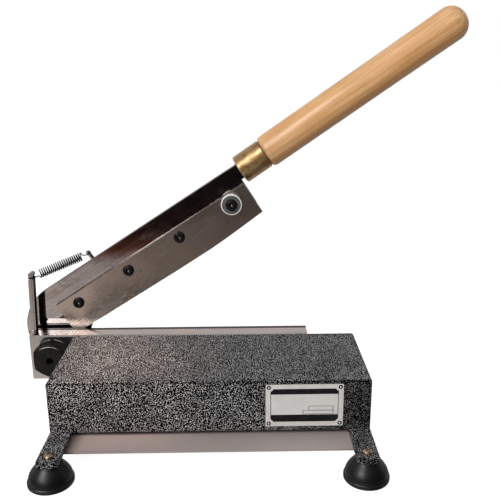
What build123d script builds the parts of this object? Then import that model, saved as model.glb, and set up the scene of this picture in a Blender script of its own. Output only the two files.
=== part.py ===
from build123d import *
import os
from math import cos, sin, radians, atan2, degrees, hypot

# Small bench cutter: a sheet table on four rubber feet, a fixed blade along
# its back edge, and a swinging blade arm with a turned wooden handle.
# Millimetres, +Z up, -Y is the side where the work lies (the front).
# Origin: under the middle of the whole outline, at the height of the floor.

# ---------------------------------------------------------------- dimensions
TX = -21.0            # X of the table's middle
TABLE_W = 262.0       # table, left to right
TABLE_D = 96.0        # table, front to back
TABLE_TOP = 66.0      # height of the working surface
TABLE_H = 44.0        # height of the folded skirt
SHEET = 2.0
FLANGE = 19.0         # width of the inward flange at each end

BAR_W = 17.5          # leg bars
BAR_T = 4.0
BAR_END = 91.6        # how far the bars reach from the middle
FOOT_Y = 82.0
FOOT_R = 17.9

LOWER_T = 1.5         # sheet under the bars
LOWER_X = 118.0
LOWER_Y = 70.5

BACK_T = 13.0         # thick bar behind the table
BLADE_T = 5.0         # fixed blade on its back
BACK_X0 = TX - 172.0
BACK_X1 = TX + 88.0

PIVOT_X = TX - 149.2
PIVOT_Z = 48.2
PIVOT_R = 6.0
ARM_DEG = 33.0        # how far the arm stands open at rest
SHEAR_GAP = 0.15      # between the two blades
MOVING_T = 4.0
ARM_T = 6.0

HANDLE_DEG = 1.4      # the handle's tilt against the arm
HANDLE_R = 15.1
FERRULE_R = 13.35

SCREW_R = 3.0         # M6
HEAD_R = 5.25         # M6 button head
HEAD_H = 3.3
ROLLER_U = 215.8      # stop roller on the arm
SCREW_V = 25.0
BLADE_SCREWS = [41.6, 99.7, 157.8]

# ------------------------------------------------------------- derived places
Z0 = TABLE_TOP - TABLE_H           # underside of the table, top of the bars
BAR_Z = Z0 - BAR_T                 # underside of the bars
Y_FRONT = -TABLE_D / 2
Y_BACK = TABLE_D / 2
Y_BLADE = Y_BACK + BACK_T          # front face of the fixed blade
Y_SHEAR = Y_BLADE + BLADE_T        # back face of the fixed blade
Y_MOV = Y_SHEAR + SHEAR_GAP        # front face of the moving blade
Y_ARM = Y_MOV + MOVING_T           # front face of the arm
Y_ARM_BACK = Y_ARM + ARM_T
Y_MID = (Y_ARM + Y_ARM_BACK) / 2
CA, SA = cos(radians(ARM_DEG)), sin(radians(ARM_DEG))


def front_plane(y):
    # looking along +Y: local x is X, local y is Z, normal towards the front
    return Plane(origin=(0, y, 0), x_dir=(1, 0, 0), z_dir=(0, -1, 0))


def arm_plane(y):
    # local x runs along the arm from the pivot, local y stands square to it
    return Plane(origin=(PIVOT_X, y, PIVOT_Z), x_dir=(CA, 0, SA), z_dir=(0, -1, 0))


def arm_point(u, v, y):
    return Vector(PIVOT_X + u * CA - v * SA, y, PIVOT_Z + u * SA + v * CA)


os.makedirs("parts", exist_ok=True)


def save(part, name):
    part.label = name
    export_step(part, "parts/" + name + ".step")


# =============================================================== table and legs
BACK_SCREW_X = [TX - 105, TX - 45, TX + 15, TX + 72]
BACK_SCREW_Z = 33.0
LEG_X = TABLE_W / 2 - BAR_W / 2
LEG_SCREW_Y = 34.0
PLATE_W, PLATE_H = 63.0, 37.5
PLATE_X, PLATE_Z = TX + 76.5, 44.6
RIVET_X, RIVET_Z = PLATE_W / 2 - 2.6, PLATE_H / 2 - 2.6

with BuildPart() as table:
    with BuildSketch(Plane.XY.offset(Z0)):
        with Locations((TX, 0)):
            Rectangle(TABLE_W, TABLE_D)
    extrude(amount=TABLE_H)
    fillet(table.edges().filter_by(Axis.Z), radius=1.6)
    fillet(table.faces().sort_by(Axis.Z)[-1].edges(), radius=2.2)
    # hollow from below
    with BuildSketch(Plane.XY.offset(Z0)):
        with Locations((TX, 0)):
            RectangleRounded(TABLE_W - 2 * SHEET, TABLE_D - 2 * SHEET, 1.2)
    extrude(amount=TABLE_H - SHEET, mode=Mode.SUBTRACT)
    # inward flanges at the two ends
    with BuildSketch(Plane.XY.offset(Z0)):
        with Locations((TX - TABLE_W / 2 + SHEET / 2 + FLANGE / 2, 0), (TX + TABLE_W / 2 - SHEET / 2 - FLANGE / 2, 0)):
            Rectangle(FLANGE, TABLE_D - SHEET)
    extrude(amount=SHEET)
    # holes for the leg screws
    with Locations(*[(TX + sx * LEG_X, sy * LEG_SCREW_Y, Z0 + SHEET) for sx in (-1, 1) for sy in (-1, 1)]):
        Hole(2.5, depth=SHEET + 1)
    # holes for the fixed blade's screws in the back wall
    with BuildSketch(front_plane(Y_BACK + 1)):
        with Locations(*[(x, BACK_SCREW_Z) for x in BACK_SCREW_X]):
            Circle(SCREW_R)
    extrude(amount=SHEET + 2, mode=Mode.SUBTRACT)
    # holes for the nameplate rivets
    with BuildSketch(front_plane(Y_FRONT - 1)):
        with Locations(*[(PLATE_X + sx * RIVET_X, PLATE_Z + sz * RIVET_Z) for sx in (-1, 1) for sz in (-1, 1)]):
            Circle(0.9)
    extrude(amount=-(SHEET + 2), mode=Mode.SUBTRACT)
save(table.part, "table_shell")

for name, sx in (("leg_bar_left", -1), ("leg_bar_right", 1)):
    with BuildPart() as bar:
        with BuildSketch(Plane.XY.offset(BAR_Z)):
            with Locations((TX + sx * LEG_X, 0)):
                RectangleRounded(BAR_W, 2 * BAR_END, 4.5)
        extrude(amount=BAR_T)
        fillet(bar.faces().sort_by(Axis.Z)[-1].edges(), radius=0.6)
        with Locations(*[(TX + sx * LEG_X, y, Z0) for y in (-FOOT_Y, FOOT_Y)]):
            Hole(2.0, depth=BAR_T + 1)
        with Locations(*[(TX + sx * LEG_X, y, Z0) for y in (-LEG_SCREW_Y, LEG_SCREW_Y)]):
            Hole(2.5, depth=BAR_T + 1)
    save(bar.part, name)

# rubber feet: a thin lip at the floor, a domed cone above, a recess below
for name, sx, sy in (("foot_front_left", -1, -1), ("foot_front_right", 1, -1), ("foot_rear_left", -1, 1), ("foot_rear_right", 1, 1)):
    with BuildPart() as foot:
        with BuildSketch(Plane.XZ):
            with BuildLine():
                Line((2.0, BAR_Z), (8.8, BAR_Z))
                Spline((8.8, BAR_Z), (10.4, 16.4), tangents=((1.0, 0.0), (0.62, -0.78)))
                Spline((10.4, 16.4), (13.8, 12.3), (16.3, 8.0), (17.05, 4.5), tangents=((0.62, -0.78), (0.1, -1.0)))
                Polyline((17.05, 4.5), (16.75, 4.2), (17.4, 3.9), (FOOT_R, 3.3), (FOOT_R, 0.7), (17.3, 0.0), (7.0, 0.0), (7.0, 6.0), (2.0, 6.0), (2.0, BAR_Z))
            make_face()
        revolve(axis=Axis.Z)
    foot_part = Pos(TX + sx * LEG_X, sy * FOOT_Y, 0) * foot.part
    save(foot_part, name)

FEET = [(TX + sx * LEG_X, sy * FOOT_Y) for sx in (-1, 1) for sy in (-1, 1)]

# pan-head cross-recess screws that hold the feet
with BuildPart() as foot_screw:
    with BuildSketch(Plane.XZ):
        with BuildLine():
            Polyline((0, 2.4), (2.0, 2.4), (2.0, Z0), (3.8, Z0), (3.8, Z0 + 1.3))
            RadiusArc((3.8, Z0 + 1.3), (0, Z0 + 3.1), -4.911)
            Line((0, Z0 + 3.1), (0, 2.4))
        make_face()
    revolve(axis=Axis.Z)
    with BuildSketch(Plane.XY.offset(Z0 + 3.4)):
        Rectangle(4.4, 0.9)
        Rectangle(0.9, 4.4)
    extrude(amount=-1.7, mode=Mode.SUBTRACT)
save(Compound(children=[Pos(x, y, 0) * Rot(0, 0, 20 + 31 * i) * foot_screw.part for i, (x, y) in enumerate(FEET)]), "foot_screws")

with BuildPart() as foot_washers:
    with BuildSketch(Plane.XY.offset(5.0)):
        with Locations(*FEET):
            Circle(6.0)
            Circle(2.0, mode=Mode.SUBTRACT)
    extrude(amount=1.0)
save(foot_washers.part, "foot_washers")

with BuildPart() as foot_nuts:
    with BuildSketch(Plane.XY.offset(1.8)):
        with Locations(*FEET):
            RegularPolygon(4.04, 6)
            Circle(2.0, mode=Mode.SUBTRACT)
    extrude(amount=3.2)
save(foot_nuts.part, "foot_nuts")

# screws through lower plate, bar and flange
LEG_SCREWS = [(TX + sx * LEG_X, sy * LEG_SCREW_Y) for sx in (-1, 1) for sy in (-1, 1)]
with BuildPart() as leg_screw:
    with BuildSketch(Plane.XZ):
        with BuildLine():
            Polyline((0, Z0 + 7.5), (2.5, Z0 + 7.5), (2.5, BAR_Z - LOWER_T), (4.6, BAR_Z - LOWER_T), (4.6, BAR_Z - LOWER_T - 1.5))
            RadiusArc((4.6, BAR_Z - LOWER_T - 1.5), (0, BAR_Z - LOWER_T - 3.4), 6.6)
            Line((0, BAR_Z - LOWER_T - 3.4), (0, Z0 + 7.5))
        make_face()
    revolve(axis=Axis.Z)
    with BuildSketch(Plane.XY.offset(BAR_Z - LOWER_T - 3.6)):
        Rectangle(5.0, 1.0)
        Rectangle(1.0, 5.0)
    extrude(amount=1.9, mode=Mode.SUBTRACT)
save(Compound(children=[Pos(x, y, 0) * Rot(0, 0, 12 + 25 * i) * leg_screw.part for i, (x, y) in enumerate(LEG_SCREWS)]), "leg_screws")

with BuildPart() as leg_nuts:
    with BuildSketch(Plane.XY.offset(Z0 + SHEET)):
        with Locations(*LEG_SCREWS):
            RegularPolygon(4.62, 6)
            Circle(2.5, mode=Mode.SUBTRACT)
    extrude(amount=4.0)
save(leg_nuts.part, "leg_nuts")

with BuildPart() as lower:
    with BuildSketch(Plane.XY.offset(BAR_Z - LOWER_T)):
        with Locations((TX, 0)):
            RectangleRounded(2 * LOWER_X + 11.0, 2 * LOWER_Y - 42.0, 3.0)
            RectangleRounded(2 * (LEG_X - BAR_W / 2 + 4.0), 2 * LOWER_Y, 2.0)
        with Locations(*LEG_SCREWS):
            Circle(2.5, mode=Mode.SUBTRACT)
    extrude(amount=LOWER_T)
save(lower.part, "lower_plate")

# nameplate: bare plate with corner rivets
with BuildPart() as plate:
    with BuildSketch(front_plane(Y_FRONT)):
        with Locations((PLATE_X, PLATE_Z)):
            RectangleRounded(PLATE_W, PLATE_H, 0.8)
        with Locations(*[(PLATE_X + sx * RIVET_X, PLATE_Z + sz * RIVET_Z) for sx in (-1, 1) for sz in (-1, 1)]):
            Circle(0.9, mode=Mode.SUBTRACT)
    extrude(amount=0.8)
save(plate.part, "nameplate")

with BuildPart() as rivet:
    with BuildSketch(Plane.XY):
        with BuildLine():
            Polyline((0, SHEET + 0.6), (0.9, SHEET + 0.6), (0.9, -0.8), (1.75, -0.8))
            Line((1.75, -0.8), (1.3, -1.35))
            Line((1.3, -1.35), (0, -1.6))
            Line((0, -1.6), (0, SHEET + 0.6))
        make_face()
    revolve(axis=Axis.Y)
save(Compound(children=[Pos(PLATE_X + sx * RIVET_X, Y_FRONT, PLATE_Z + sz * RIVET_Z) * rivet.part for sx in (-1, 1) for sz in (-1, 1)]), "nameplate_rivets")

# ============================================================ fixed blade group
POST_Y0, POST_Y1 = 52.9, 60.2
POST_X = TX - 169.0
POST_FOOT_SCREW = (POST_X, 50.6)

with BuildPart() as back:
    with BuildSketch(front_plane(Y_BACK)):
        with Locations(((BACK_X0 + BACK_X1) / 2, TABLE_TOP - TABLE_H / 2)):
            Rectangle(BACK_X1 - BACK_X0, TABLE_H)
    extrude(amount=-BACK_T)
    chamfer(back.edges().filter_by(Axis.X).group_by(Axis.Z)[-1].sort_by(Axis.Y)[0], length=1.3)
    with BuildSketch(front_plane(Y_BACK - 1)):
        with Locations((PIVOT_X, PIVOT_Z)):
            Circle(PIVOT_R)
        with Locations(*[(x, BACK_SCREW_Z) for x in BACK_SCREW_X]):
            Circle(SCREW_R)
    extrude(amount=-(BACK_T + 2), mode=Mode.SUBTRACT)
    with Locations((POST_FOOT_SCREW[0], POST_FOOT_SCREW[1], TABLE_TOP)):
        Hole(1.25, depth=9)
save(back.part, "back_plate")

with BuildPart() as fixed:
    with BuildSketch(front_plane(Y_BLADE)):
        with Locations(((BACK_X0 + BACK_X1) / 2, TABLE_TOP - TABLE_H / 2)):
            Rectangle(BACK_X1 - BACK_X0, TABLE_H)
    extrude(amount=-BLADE_T)
    with BuildSketch(front_plane(Y_BLADE - 1)):
        with Locations((PIVOT_X, PIVOT_Z)):
            Circle(PIVOT_R)
        with Locations(*[(x, BACK_SCREW_Z) for x in BACK_SCREW_X]):
            Circle(SCREW_R)
    extrude(amount=-(BLADE_T + 2), mode=Mode.SUBTRACT)
    # countersinks on the back, so that the heads sit flush
    with BuildSketch(front_plane(Y_SHEAR)):
        with Locations(*[(x, BACK_SCREW_Z) for x in BACK_SCREW_X]):
            Circle(6.0)
    extrude(amount=3.0, taper=45, mode=Mode.SUBTRACT)
save(fixed.part, "fixed_blade")

with BuildPart() as csk:
    with BuildSketch(Plane.XY):
        with BuildLine():
            Polyline((0, Y_SHEAR), (6.0, Y_SHEAR), (3.0, Y_SHEAR - 3.0), (3.0, Y_BACK - SHEET - 6.5), (0, Y_BACK - SHEET - 6.5), (0, Y_SHEAR))
        make_face()
    revolve(axis=Axis.Y)
    with BuildSketch(front_plane(Y_SHEAR)):
        RegularPolygon(2.3, 6)
    extrude(amount=2.4, mode=Mode.SUBTRACT)
save(Compound(children=[Pos(x, 0, BACK_SCREW_Z) * csk.part for x in BACK_SCREW_X]), "fixed_blade_screws")

with BuildPart() as back_nuts:
    with BuildSketch(front_plane(Y_BACK - SHEET)):
        with Locations(*[(x, BACK_SCREW_Z) for x in BACK_SCREW_X]):
            RegularPolygon(5.77, 6)
            Circle(SCREW_R, mode=Mode.SUBTRACT)
    extrude(amount=5.0)
save(back_nuts.part, "fixed_blade_nuts")

# upright strip for the spring, leaning a little towards the pull, with a small
# foot in front and a waist near its top where the spring's loop sits
POST_TOP = 126.0
POST_W = 4.6
LEAN = 2.3
with BuildPart() as post:
    with BuildSketch(front_plane(POST_Y0)):
        with BuildLine():
            Polyline((POST_X - POST_W / 2, TABLE_TOP), (POST_X + POST_W / 2, TABLE_TOP),
                     (POST_X + POST_W / 2 + LEAN * 0.88, 118.9), (POST_X + 1.5 + LEAN * 0.9, 119.7), (POST_X + 1.5 + LEAN * 0.93, 122.1), (POST_X + POST_W / 2 + LEAN * 0.94, 122.9),
                     (POST_X + POST_W / 2 + LEAN, POST_TOP - 1.2), (POST_X + POST_W / 2 + LEAN - 1.2, POST_TOP), (POST_X - POST_W / 2 + LEAN + 1.2, POST_TOP), (POST_X - POST_W / 2 + LEAN, POST_TOP - 1.2),
                     (POST_X - POST_W / 2 + LEAN * 0.94, 122.9), (POST_X - 1.5 + LEAN * 0.93, 122.1), (POST_X - 1.5 + LEAN * 0.9, 119.7), (POST_X - POST_W / 2 + LEAN * 0.88, 118.9),
                     (POST_X - POST_W / 2, TABLE_TOP))
        make_face()
    extrude(amount=-(POST_Y1 - POST_Y0))
    with BuildSketch(Plane.XY.offset(TABLE_TOP)):
        with Locations((POST_X, (POST_Y0 + 48.4) / 2)):
            Rectangle(POST_W, POST_Y0 - 48.4)
    extrude(amount=1.4)
    with Locations((POST_FOOT_SCREW[0], POST_FOOT_SCREW[1], TABLE_TOP + 1.4)):
        Hole(1.25, depth=1.4)
save(post.part, "spring_post")

with BuildPart() as post_screw:
    with BuildSketch(Plane.XZ):
        with BuildLine():
            Polyline((0, TABLE_TOP - 7.6), (1.25, TABLE_TOP - 7.6), (1.25, TABLE_TOP + 1.4), (2.1, TABLE_TOP + 1.4), (2.1, TABLE_TOP + 2.1))
            RadiusArc((2.1, TABLE_TOP + 2.1), (0, TABLE_TOP + 3.0), -2.9)
            Line((0, TABLE_TOP + 3.0), (0, TABLE_TOP - 7.6))
        make_face()
    revolve(axis=Axis.Z)
    with BuildSketch(Plane.XY.offset(TABLE_TOP + 3.2)):
        Rectangle(4.4, 0.6)
    extrude(amount=-1.0, mode=Mode.SUBTRACT)
save(Pos(POST_FOOT_SCREW[0], POST_FOOT_SCREW[1], 0) * Rot(0, 0, 25) * post_screw.part, "spring_post_screw")

# ======================================================================= pivot
COLLAR_T = 6.0
HEAD_T = 12.0
HEX_AF = 30.0
Y_COLLAR = Y_BACK - COLLAR_T
Y_HEAD = Y_COLLAR - HEAD_T
SPACER_T = Y_ARM - Y_SHEAR - 0.15
REAR_T = 2.5
NUT_T = 10.0
Y_REAR = Y_ARM_BACK + 0.15
Y_NUT = Y_REAR + REAR_T

with BuildPart() as bolt:
    with BuildSketch(front_plane(Y_COLLAR)):
        RegularPolygon(HEX_AF / 2 / cos(radians(30)), 6, rotation=90)
    extrude(amount=HEAD_T)
    with BuildSketch(Plane.XY):
        with BuildLine():
            Polyline((0, Y_HEAD), (14.2, Y_HEAD), (18.6, Y_HEAD + 2.54), (18.6, Y_COLLAR - 1.2), (17.0, Y_COLLAR), (0, Y_COLLAR), (0, Y_HEAD))
        make_face()
    revolve(axis=Axis.Y, mode=Mode.INTERSECT)
    with BuildSketch(front_plane(Y_COLLAR)):
        Circle(PIVOT_R)
    extrude(amount=-(Y_NUT + NUT_T + 2.0 - Y_COLLAR))
    chamfer(bolt.faces().sort_by(Axis.Y)[-1].edges(), length=1.0)
    # lathe centre in the head
    with BuildSketch(front_plane(Y_HEAD - 0.5)):
        Circle(3.6)
    extrude(amount=-6.0, mode=Mode.SUBTRACT)
save(Pos(PIVOT_X, 0, PIVOT_Z) * bolt.part, "pivot_bolt")

with BuildPart() as collar:
    with BuildSketch(front_plane(Y_BACK)):
        Circle(16.6)
        Circle(PIVOT_R, mode=Mode.SUBTRACT)
    extrude(amount=COLLAR_T)
    chamfer(collar.edges().filter_by(GeomType.CIRCLE).group_by(Axis.Y)[0].sort_by(SortBy.LENGTH)[-1], length=0.7)
save(Pos(PIVOT_X, 0, PIVOT_Z) * collar.part, "pivot_collar")

with BuildPart() as spacer:
    with BuildSketch(front_plane(Y_SHEAR)):
        with Locations((PIVOT_X, PIVOT_Z)):
            Circle(12.0)
            Circle(PIVOT_R, mode=Mode.SUBTRACT)
    extrude(amount=-SPACER_T)
save(spacer.part, "pivot_spacer")

with BuildPart() as rear:
    with BuildSketch(front_plane(Y_REAR)):
        with Locations((PIVOT_X, PIVOT_Z)):
            Circle(13.0)
            Circle(PIVOT_R, mode=Mode.SUBTRACT)
    extrude(amount=-REAR_T)
save(rear.part, "pivot_rear_washer")

with BuildPart() as nut:
    with BuildSketch(front_plane(Y_NUT)):
        RegularPolygon(9.5 / cos(radians(30)), 6, rotation=90)
        Circle(PIVOT_R, mode=Mode.SUBTRACT)
    extrude(amount=-NUT_T)
    with BuildSketch(Plane.XY):
        with BuildLine():
            Polyline((0, Y_NUT), (10.4, Y_NUT), (11.3, Y_NUT + 0.6), (11.3, Y_NUT + NUT_T - 1.2), (9.3, Y_NUT + NUT_T), (0, Y_NUT + NUT_T), (0, Y_NUT))
        make_face()
    revolve(axis=Axis.Y, mode=Mode.INTERSECT)
save(Pos(PIVOT_X, 0, PIVOT_Z) * nut.part, "pivot_nut")

BUSH_R = 8.0
with BuildPart() as bush:
    with BuildSketch(arm_plane(Y_ARM)):
        Circle(BUSH_R)
        Circle(PIVOT_R + 0.04, mode=Mode.SUBTRACT)
    extrude(amount=-ARM_T)
save(bush.part, "pivot_bush")

# ========================================================================= arm
SPINE_V = 52.0
NOSE_R = 43.0
NOSE_U = 19.9
ARM_END = 235.2
ARM_LOW = 12.0
TANG_LOW, TANG_END = 37.6, 291.0
EYE_R = 23.1
TA = radians(HANDLE_DEG)

with BuildPart() as arm:
    with BuildSketch(arm_plane(Y_ARM)):
        with BuildLine():
            Line((ARM_END, SPINE_V), (NOSE_U, SPINE_V))
            RadiusArc((NOSE_U, SPINE_V), (NOSE_U - NOSE_R, SPINE_V - NOSE_R), -NOSE_R)
            Line((NOSE_U - NOSE_R, SPINE_V - NOSE_R), (-EYE_R, 0))
            RadiusArc((-EYE_R, 0), (EYE_R * cos(radians(-60)), EYE_R * sin(radians(-60))), -EYE_R)
            Line((EYE_R * cos(radians(-60)), EYE_R * sin(radians(-60))), (34.0, -3.0))
            Line((34.0, -3.0), (52.0, ARM_LOW))
            Line((52.0, ARM_LOW), (ARM_END, ARM_LOW))
            Line((ARM_END, ARM_LOW), (ARM_END, TANG_LOW))
            Line((ARM_END, TANG_LOW), (242.0, TANG_LOW + 0.2))
            Line((242.0, TANG_LOW + 0.2), (TANG_END, 40.6))
            Line((TANG_END, 40.6), (TANG_END, 51.6))
            Line((TANG_END, 51.6), (242.0, 52.3))
            Line((242.0, 52.3), (ARM_END, SPINE_V))
        make_face()
        Circle(BUSH_R, mode=Mode.SUBTRACT)
        with Locations(*[(u, SCREW_V) for u in BLADE_SCREWS + [ROLLER_U]]):
            Circle(SCREW_R, mode=Mode.SUBTRACT)
    extrude(amount=-ARM_T)
    # the spine and the nose are just broken on the polished side
    long_edges = arm.faces().sort_by(Axis.Y)[0].outer_wire().edges().filter_by(lambda e: e.length > 60)
    chamfer(long_edges.sort_by(Axis((0, 0, 0), (-SA, 0, CA)))[-2:], length=0.4)
save(arm.part, "arm")

BLADE_U0, BLADE_U1 = 21.4, 235.2
with BuildPart() as moving:
    with BuildSketch(arm_plane(Y_MOV)):
        with BuildLine():
            Polyline((BLADE_U0, 34.5), (BLADE_U0, 1.6), (52.0, 0.7), (95.0, 0.1), (140.0, -0.5), (176.0, -0.5), (192.0, 0.1), (208.0, 1.0), (BLADE_U1, 2.9), (BLADE_U1, 34.0), (BLADE_U0, 34.5))
        make_face()
        with Locations(*[(u, SCREW_V) for u in BLADE_SCREWS + [ROLLER_U]]):
            Circle(SCREW_R, mode=Mode.SUBTRACT)
    extrude(amount=-MOVING_T)
    chamfer(moving.faces().sort_by(Axis.Y)[0].outer_wire().edges().sort_by(Axis((0, 0, 0), (-SA, 0, CA)))[-1], length=0.3)
save(moving.part, "moving_blade")


def button_screw(y_seat, y_end):
    # button head towards the front, hexagon socket, plain shank
    with BuildPart() as s:
        with BuildSketch(Plane.XY):
            with BuildLine():
                Polyline((0, y_end), (SCREW_R, y_end), (SCREW_R, y_seat), (HEAD_R, y_seat), (HEAD_R, y_seat - 1.1))
                RadiusArc((HEAD_R, y_seat - 1.1), (3.5, y_seat - HEAD_H), 3.4)
                Line((3.5, y_seat - HEAD_H), (0, y_seat - HEAD_H))
                Line((0, y_seat - HEAD_H), (0, y_end))
            make_face()
        revolve(axis=Axis.Y)
        with BuildSketch(front_plane(y_seat - HEAD_H)):
            RegularPolygon(2.0 / cos(radians(30)), 6)
        extrude(amount=-2.0, mode=Mode.SUBTRACT)
        # drilled cone at the bottom of the socket
        y_cone = y_seat - HEAD_H + 2.0
        with BuildSketch(Plane.XY):
            with BuildLine():
                Polyline((0, y_cone - 0.1), (1.9, y_cone - 0.1), (1.9, y_cone), (0, y_cone + 1.0), (0, y_cone - 0.1))
            make_face()
        revolve(axis=Axis.Y, mode=Mode.SUBTRACT)
    return s.part


blade_screw = button_screw(0.0, MOVING_T + ARM_T)
save(Compound(children=[Pos(*arm_point(u, SCREW_V, Y_MOV)) * Rot(0, 17 * i, 0) * blade_screw for i, u in enumerate(BLADE_SCREWS)]), "blade_screws")

# ================================================================= stop roller
SPACER_B = 0.8
BEAR_T = 6.0
BEAR_R = 9.5
Y_BEAR1 = Y_MOV - SPACER_B
Y_BEAR0 = Y_BEAR1 - BEAR_T
Y_BALL = (Y_BEAR0 + Y_BEAR1) / 2
BALL_C, BALL_R = 6.25, 1.75
ROLLER = arm_point(ROLLER_U, SCREW_V, 0)

roller_screw = button_screw(Y_BEAR0, Y_ARM_BACK)
save(Pos(ROLLER.X, 0, ROLLER.Z) * Rot(0, 40, 0) * roller_screw, "bearing_screw")

with BuildPart() as bspacer:
    with BuildSketch(front_plane(Y_MOV)):
        with Locations((ROLLER.X, ROLLER.Z)):
            Circle(4.4)
            Circle(SCREW_R, mode=Mode.SUBTRACT)
    extrude(amount=SPACER_B)
save(bspacer.part, "bearing_spacer")

with BuildPart() as inner:
    with BuildSketch(Plane.XY):
        with Locations(((SCREW_R + 5.1) / 2, Y_BALL)):
            Rectangle(5.1 - SCREW_R, BEAR_T)
        with Locations((BALL_C, Y_BALL)):
            Circle(BALL_R + 0.05, mode=Mode.SUBTRACT)
    revolve(axis=Axis.Y)
save(Pos(ROLLER.X, 0, ROLLER.Z) * inner.part, "bearing_inner_ring")

with BuildPart() as outer:
    with BuildSketch(Plane.XY):
        with Locations(((7.4 + BEAR_R) / 2, Y_BALL)):
            Rectangle(BEAR_R - 7.4, BEAR_T)
        with Locations((BALL_C, Y_BALL)):
            Circle(BALL_R + 0.05, mode=Mode.SUBTRACT)
        # rebates for the shields
        with Locations((7.7, Y_BEAR0 + 0.2), (7.7, Y_BEAR1 - 0.2)):
            Rectangle(0.6, 0.4, mode=Mode.SUBTRACT)
    revolve(axis=Axis.Y)
    chamfer(outer.edges().filter_by(GeomType.CIRCLE).filter_by(lambda e: e.radius > BEAR_R - 0.01), length=0.35)
save(Pos(ROLLER.X, 0, ROLLER.Z) * outer.part, "bearing_outer_ring")

with BuildPart() as ball:
    Sphere(BALL_R)
balls = [Pos(ROLLER.X, Y_BALL, ROLLER.Z) * Rot(0, a * 360 / 7, 0) * Pos(BALL_C, 0, 0) * ball.part for a in range(7)]
save(Compound(children=balls), "bearing_balls")

with BuildPart() as shields:
    with BuildSketch(Plane.XY):
        with Locations(((5.4 + 8.0) / 2, Y_BEAR0 + 0.25), ((5.4 + 8.0) / 2, Y_BEAR1 - 0.25)):
            Rectangle(8.0 - 5.4, 0.3)
    revolve(axis=Axis.Y)
save(Pos(ROLLER.X, 0, ROLLER.Z) * shields.part, "bearing_shields")

# ============================================================== ferrule, handle
HC, HS = cos(radians(ARM_DEG + HANDLE_DEG)), sin(radians(ARM_DEG + HANDLE_DEG))
HP = arm_point(239.0, 45.2, Y_MID)
handle_plane = Plane(origin=HP, x_dir=(HC, 0, HS), z_dir=(0, -1, 0))
FERRULE_L = 26.4
HANDLE_END = 235.2
TENON_R = FERRULE_R - 1.1
handle_axis = Axis(HP, (HC, 0, HS))

with BuildPart() as tang_cut:
    with BuildSketch(arm_plane(Y_ARM - 0.05)):
        with BuildLine():
            Polyline((230.0, TANG_LOW - 0.1), (242.0, TANG_LOW + 0.1), (TANG_END + 1.0, 40.5), (TANG_END + 1.0, 51.7), (242.0, 52.4), (230.0, 52.2), (230.0, TANG_LOW - 0.1))
        make_face()
    extrude(amount=-(ARM_T + 0.1))

with BuildPart() as ferrule:
    with BuildSketch(handle_plane):
        with BuildLine():
            Polyline((0, 0), (0, FERRULE_R - 0.8), (0.8, FERRULE_R), (FERRULE_L - 0.3, FERRULE_R), (FERRULE_L, FERRULE_R - 0.3), (FERRULE_L, TENON_R), (1.6, TENON_R), (1.6, 0), (0, 0))
        make_face()
    revolve(axis=handle_axis)
    add(tang_cut.part, mode=Mode.SUBTRACT)
save(ferrule.part, "ferrule")

with BuildPart() as handle:
    with BuildSketch(handle_plane):
        with BuildLine():
            Line((1.6, 0), (1.6, TENON_R))
            Line((1.6, TENON_R), (FERRULE_L + 0.15, TENON_R))
            Line((FERRULE_L + 0.15, TENON_R), (FERRULE_L + 0.9, 12.4))
            Spline((FERRULE_L + 0.9, 12.4), (FERRULE_L + 2.2, 14.3), (FERRULE_L + 6.5, HANDLE_R), tangents=((0.15, 1.0), (1.0, 0.02)))
            Line((FERRULE_L + 6.5, HANDLE_R), (150.0, HANDLE_R))
            Line((150.0, HANDLE_R), (HANDLE_END - 14.0, HANDLE_R + 0.3))
            RadiusArc((HANDLE_END - 14.0, HANDLE_R + 0.3), (HANDLE_END, HANDLE_R + 0.3 - 14.0), 14.0)
            Line((HANDLE_END, HANDLE_R + 0.3 - 14.0), (HANDLE_END, 0))
            Line((HANDLE_END, 0), (1.6, 0))
        make_face()
    revolve(axis=handle_axis)
    add(tang_cut.part, mode=Mode.SUBTRACT)
save(handle.part, "handle")

# ============================================================ spring and its stud
STUD_U, STUD_R, STUD_H = 76.7, 2.1, 8.4
stud_plane = Plane(origin=arm_point(STUD_U, SPINE_V, Y_MID), x_dir=(0, 1, 0), z_dir=(-SA, 0, CA))
with BuildPart() as stud:
    with BuildSketch(stud_plane):
        Circle(STUD_R)
    extrude(amount=4.9)
    with BuildSketch(stud_plane.offset(4.9)):
        Circle(1.45)
    extrude(amount=1.6)
    with BuildSketch(stud_plane.offset(6.5)):
        Circle(STUD_R)
    extrude(amount=STUD_H - 6.5)
    chamfer(stud.faces().sort_by(Axis(stud_plane.origin, stud_plane.z_dir))[-1].edges(), length=0.4)
save(stud.part, "spring_stud")

SPRING_A = Vector(POST_X + LEAN * 0.92, (POST_Y0 + POST_Y1) / 2, 120.9)
SPRING_B = arm_point(STUD_U, SPINE_V + 5.7, Y_MID)
SPRING_L = (SPRING_B - SPRING_A).length
SPRING_DIR = (SPRING_B - SPRING_A).normalized()
COIL0, COIL1, COIL_R, WIRE_R = 7.3, SPRING_L - 7.3, 4.4, 0.6
spring_plane = Plane(origin=SPRING_A, z_dir=SPRING_DIR)
with BuildPart() as spring:
    with BuildSketch(spring_plane.offset(COIL0)):
        Circle(COIL_R)
        Circle(COIL_R - 2 * WIRE_R, mode=Mode.SUBTRACT)
    extrude(amount=COIL1 - COIL0)
    with BuildSketch(spring_plane.offset(COIL0)):
        Circle(COIL_R)
    extrude(amount=1.0)
    with BuildSketch(spring_plane.offset(COIL1 - 1.0)):
        Circle(COIL_R)
    extrude(amount=1.0)
    with BuildSketch(spring_plane.offset(3.7)):
        Circle(WIRE_R)
    extrude(amount=COIL0 - 3.7)
    with BuildSketch(spring_plane.offset(COIL1)):
        Circle(WIRE_R)
    extrude(amount=SPRING_L - 2.6 - COIL1)
save(spring.part, "spring")

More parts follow.
